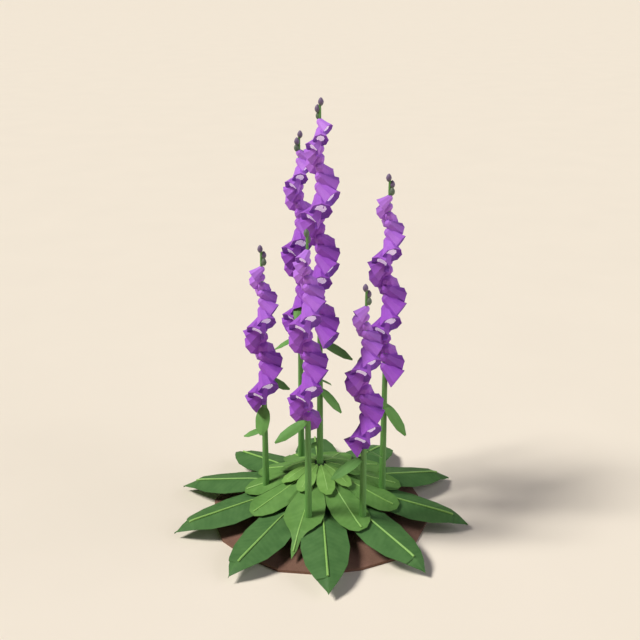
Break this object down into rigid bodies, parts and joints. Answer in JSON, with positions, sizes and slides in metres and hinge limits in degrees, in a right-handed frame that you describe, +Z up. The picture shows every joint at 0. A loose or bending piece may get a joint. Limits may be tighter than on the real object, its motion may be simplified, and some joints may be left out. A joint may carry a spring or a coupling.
{
  "type": "foxglove plant",
  "caption": "Tall purple foxglove in flower: upright spires of drooping bells over a flat rosette of broad green leaves, growing from a low disc of soil.",
  "frame": {"origin": "centre of the soil disc's flat underside, on the axis of the tallest spire", "axes": "+Z up along the stems; -Y is the side that the picture is taken from, and the plant's front"},
  "size_m": [0.6988, 0.7222, 1],
  "materials": {
    "soil": null,
    "crown": null,
    "outer_leaf": null,
    "middle_leaf": null,
    "inner_leaf": null,
    "stem": null,
    "bell": null
  },
  "bodies": {
    "root": {"soil": "soil", "crown": "crown", "outer_leaf_1": "outer_leaf", "outer_leaf_2": "outer_leaf", "outer_leaf_3": "outer_leaf", "outer_leaf_4": "outer_leaf", "outer_leaf_5": "outer_leaf", "outer_leaf_6": "outer_leaf", "outer_leaf_7": "outer_leaf", "outer_leaf_8": "outer_leaf", "outer_leaf_9": "outer_leaf", "outer_leaf_10": "outer_leaf", "middle_leaf_1": "middle_leaf", "middle_leaf_2": "middle_leaf", "middle_leaf_3": "middle_leaf", "middle_leaf_4": "middle_leaf", "middle_leaf_5": "middle_leaf", "middle_leaf_6": "middle_leaf", "middle_leaf_7": "middle_leaf", "middle_leaf_8": "middle_leaf", "middle_leaf_9": "middle_leaf", "middle_leaf_10": "middle_leaf", "inner_leaf_1": "inner_leaf", "inner_leaf_2": "inner_leaf", "inner_leaf_3": "inner_leaf", "inner_leaf_4": "inner_leaf", "inner_leaf_5": "inner_leaf", "inner_leaf_6": "inner_leaf", "inner_leaf_7": "inner_leaf", "inner_leaf_8": "inner_leaf", "inner_leaf_9": "inner_leaf", "stem_1": "stem", "stem_2": "stem", "stem_3": "stem", "stem_4": "stem", "stem_5": "stem", "stem_6": "stem", "flower_head_1": "bell", "flower_head_2": "bell", "flower_head_3": "bell", "flower_head_4": "bell", "flower_head_5": "bell", "flower_head_6": "bell"}
  },
  "joints": []
}
